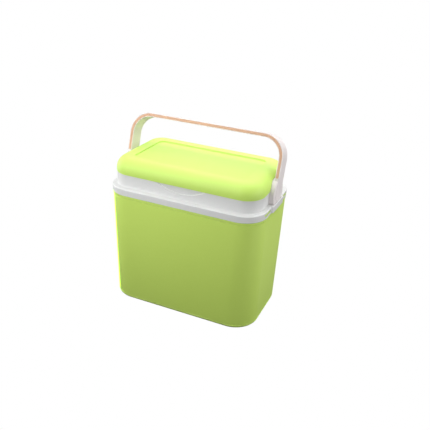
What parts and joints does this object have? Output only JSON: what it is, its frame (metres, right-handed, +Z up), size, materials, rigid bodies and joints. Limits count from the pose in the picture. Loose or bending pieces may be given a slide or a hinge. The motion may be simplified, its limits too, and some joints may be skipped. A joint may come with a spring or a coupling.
{
  "type": "insulated picnic cool box",
  "caption": "Upright insulated cool box with rounded corners, a clipped-on rim collar, a lift-off lid with a shallow tray, and a wide carrying bow that swings on side hubs.",
  "frame": {"origin": "centre of the base, on the ground", "axes": "+Z up, X across the box along the grip, -Y the front with the finger recess"},
  "size_m": [0.3988, 0.243, 0.4515],
  "materials": {
    "lime_shell": "fine satin moulded plastic, lime green",
    "lime_lid": "smooth satin-gloss moulded plastic, bright lime green",
    "white_outer": "smooth satin white moulded plastic",
    "white_inner": "plain white moulded plastic",
    "white_bow": "smooth white moulded plastic",
    "tan_strip": "matt tan soft-touch strip",
    "foam": "closed-cell insulating foam",
    "dark_rubber": "soft dark rubber"
  },
  "bodies": {
    "box": {"outer_shell": "lime_shell", "base_port_plug": "lime_shell", "base_insulation": "foam", "wall_insulation": "foam", "inner_tub": "white_inner", "rim_collar": "white_outer", "pivot_pin_left": "white_inner", "pivot_pin_right": "white_inner", "hub_washer_left": "dark_rubber", "hub_washer_right": "dark_rubber"},
    "lid": {"lid_cover": "lime_lid", "lid_insulation": "foam", "lid_inner_pan": "white_inner", "lid_port_plug": "white_inner", "lid_seal": "dark_rubber"},
    "bow": {"handle_bow": "white_bow", "grip_strip_front": "tan_strip", "grip_strip_rear": "tan_strip"}
  },
  "joints": [
    {"name": "lid_lift", "type": "slide", "parent": "box", "child": "lid", "axis": [0, 0, 1], "range_m": [0, 0.05]},
    {"name": "bow_swing", "type": "hinge", "parent": "box", "child": "bow", "pos_m": [0, 0, 0.322], "axis": [1, 0, 0], "range_deg": [-73, 106]}
  ]
}
